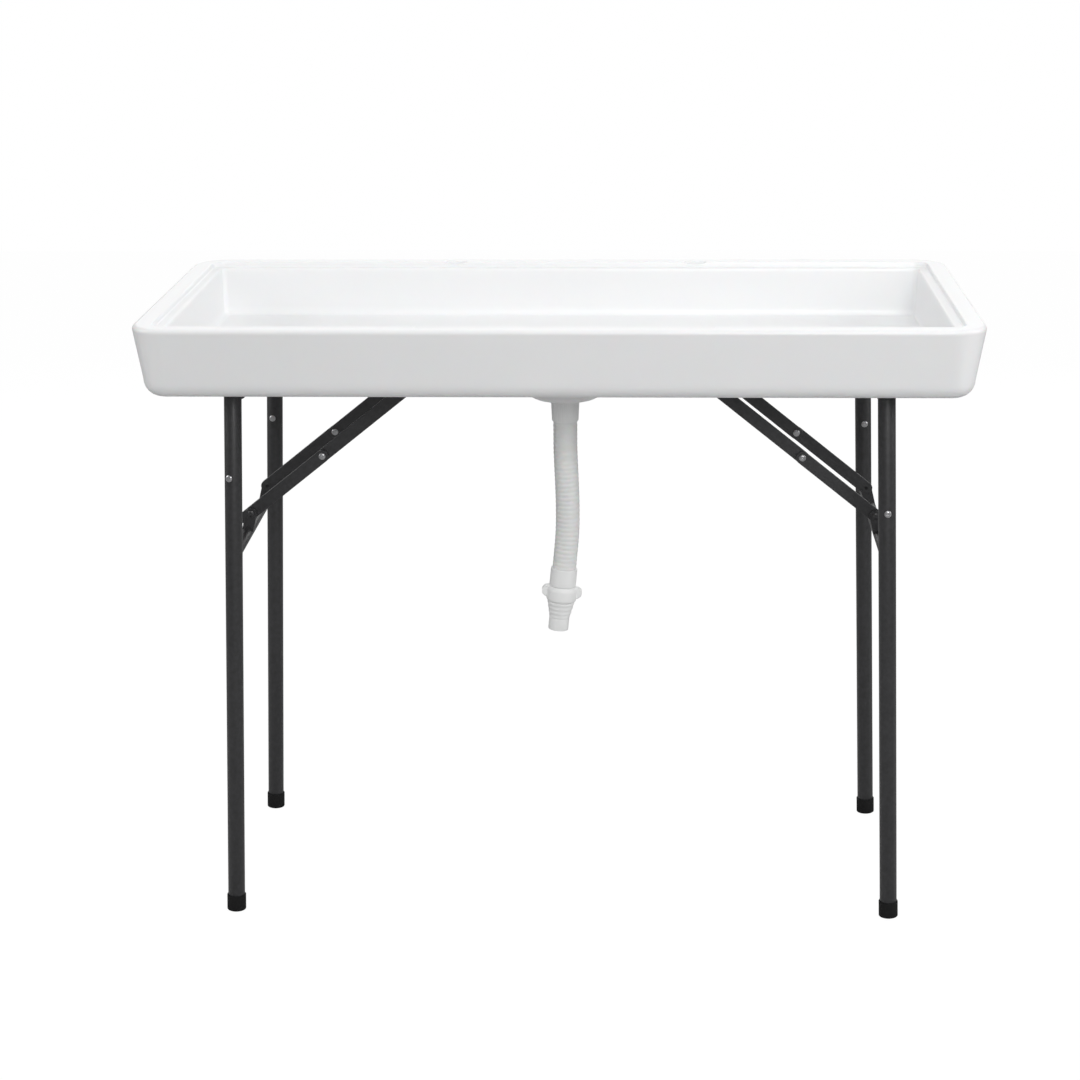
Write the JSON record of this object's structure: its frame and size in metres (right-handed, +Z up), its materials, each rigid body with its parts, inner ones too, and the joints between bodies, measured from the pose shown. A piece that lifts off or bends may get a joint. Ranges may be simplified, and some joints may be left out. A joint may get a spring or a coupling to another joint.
{
  "type": "ice cooler table",
  "caption": "White rectangular cooler tub with a drained basin on two black folding leg frames with hinged braces, and a short drain hose hanging below.",
  "frame": {"origin": "on the ground, midway between the four feet and under the middle of the tub", "axes": "+X along the table's length, +Y towards its back, +Z up; the front is at -Y"},
  "size_m": [1.2, 0.6, 0.914],
  "materials": {
    "white_plastic": "satin moulded",
    "pipe_plastic": "satin moulded",
    "hose_plastic": "cloudy, faintly ribbed",
    "black_steel": "fine textured powder coat",
    "black_plastic": "matte moulded",
    "foot_rubber": "matte",
    "black_rubber": "matte",
    "zinc_steel": "zinc plated"
  },
  "bodies": {
    "tub": {"tub": "white_plastic", "drain_gasket": "black_rubber", "drain_strainer": "pipe_plastic", "drain_nut": "pipe_plastic", "drain_hose": "hose_plastic", "hose_cuff": "pipe_plastic", "hose_collar": "pipe_plastic", "hose_spout": "pipe_plastic", "left_brace_anchor": "black_steel", "left_anchor_pin": "zinc_steel", "left_hinge_block_front": "black_plastic", "left_anchor_screw_front": "zinc_steel", "left_hinge_screw_front_inner": "zinc_steel", "left_hinge_screw_front_outer": "zinc_steel", "left_hinge_block_rear": "black_plastic", "left_anchor_screw_rear": "zinc_steel", "left_hinge_screw_rear_inner": "zinc_steel", "left_hinge_screw_rear_outer": "zinc_steel", "right_brace_anchor": "black_steel", "right_anchor_pin": "zinc_steel", "right_hinge_block_front": "black_plastic", "right_anchor_screw_front": "zinc_steel", "right_hinge_screw_front_inner": "zinc_steel", "right_hinge_screw_front_outer": "zinc_steel", "right_hinge_block_rear": "black_plastic", "right_anchor_screw_rear": "zinc_steel", "right_hinge_screw_rear_inner": "zinc_steel", "right_hinge_screw_rear_outer": "zinc_steel"},
    "left_leg_frame": {"left_top_bar": "black_steel", "left_crossbar": "black_steel", "left_leg_front": "black_steel", "left_leg_rear": "black_steel", "left_leg_rivet_front": "zinc_steel", "left_leg_rivet_rear": "zinc_steel", "left_foot_front": "foot_rubber", "left_foot_rear": "foot_rubber"},
    "left_upper_links": {"left_upper_link_front": "black_steel", "left_upper_link_rear": "black_steel"},
    "left_lower_links": {"left_lower_link_front": "black_steel", "left_lower_link_rear": "black_steel", "left_knee_rivet_front": "zinc_steel", "left_knee_rivet_rear": "zinc_steel", "left_foot_link_rivet_front": "black_steel", "left_foot_link_rivet_rear": "black_steel"},
    "right_leg_frame": {"right_top_bar": "black_steel", "right_crossbar": "black_steel", "right_leg_front": "black_steel", "right_leg_rear": "black_steel", "right_leg_rivet_front": "zinc_steel", "right_leg_rivet_rear": "zinc_steel", "right_foot_front": "foot_rubber", "right_foot_rear": "foot_rubber"},
    "right_upper_links": {"right_upper_link_front": "black_steel", "right_upper_link_rear": "black_steel"},
    "right_lower_links": {"right_lower_link_front": "black_steel", "right_lower_link_rear": "black_steel", "right_knee_rivet_front": "zinc_steel", "right_knee_rivet_rear": "zinc_steel", "right_foot_link_rivet_front": "black_steel", "right_foot_link_rivet_rear": "black_steel"}
  },
  "joints": [
    {"name": "left_leg_fold", "type": "hinge", "parent": "tub", "child": "left_leg_frame", "pos_m": [-0.4686, 0, 0.794], "axis": [0, -1, 0], "range_deg": [0, 91.9]},
    {"name": "left_upper_link_swing", "type": "hinge", "parent": "tub", "child": "left_upper_links", "pos_m": [-0.1913, 0, 0.8139], "axis": [0, -1, 0], "range_deg": [-39.1, 0.3]},
    {"name": "left_lower_link_swing", "type": "hinge", "parent": "left_leg_frame", "child": "left_lower_links", "pos_m": [-0.46903, 0, 0.5909], "axis": [0, -1, 0], "range_deg": [-0.3, 44.1]},
    {"name": "right_leg_fold", "type": "hinge", "parent": "tub", "child": "right_leg_frame", "pos_m": [0.4686, 0, 0.794], "axis": [0, 1, 0], "range_deg": [0, 80]},
    {"name": "right_upper_link_swing", "type": "hinge", "parent": "tub", "child": "right_upper_links", "pos_m": [0.1913, 0, 0.8139], "axis": [0, 1, 0], "range_deg": [-33.8, 0.3]},
    {"name": "right_lower_link_swing", "type": "hinge", "parent": "right_leg_frame", "child": "right_lower_links", "pos_m": [0.46903, 0, 0.5909], "axis": [0, 1, 0], "range_deg": [-0.3, 46.8]}
  ],
  "couplings": [
    {"joint": "left_upper_link_swing", "follows": "left_leg_fold", "ratio": -0.42178},
    {"joint": "left_lower_link_swing", "follows": "left_leg_fold", "ratio": 0.47676},
    {"joint": "right_upper_link_swing", "follows": "right_leg_fold", "ratio": -0.41866},
    {"joint": "right_lower_link_swing", "follows": "right_leg_fold", "ratio": 0.58166}
  ]
}
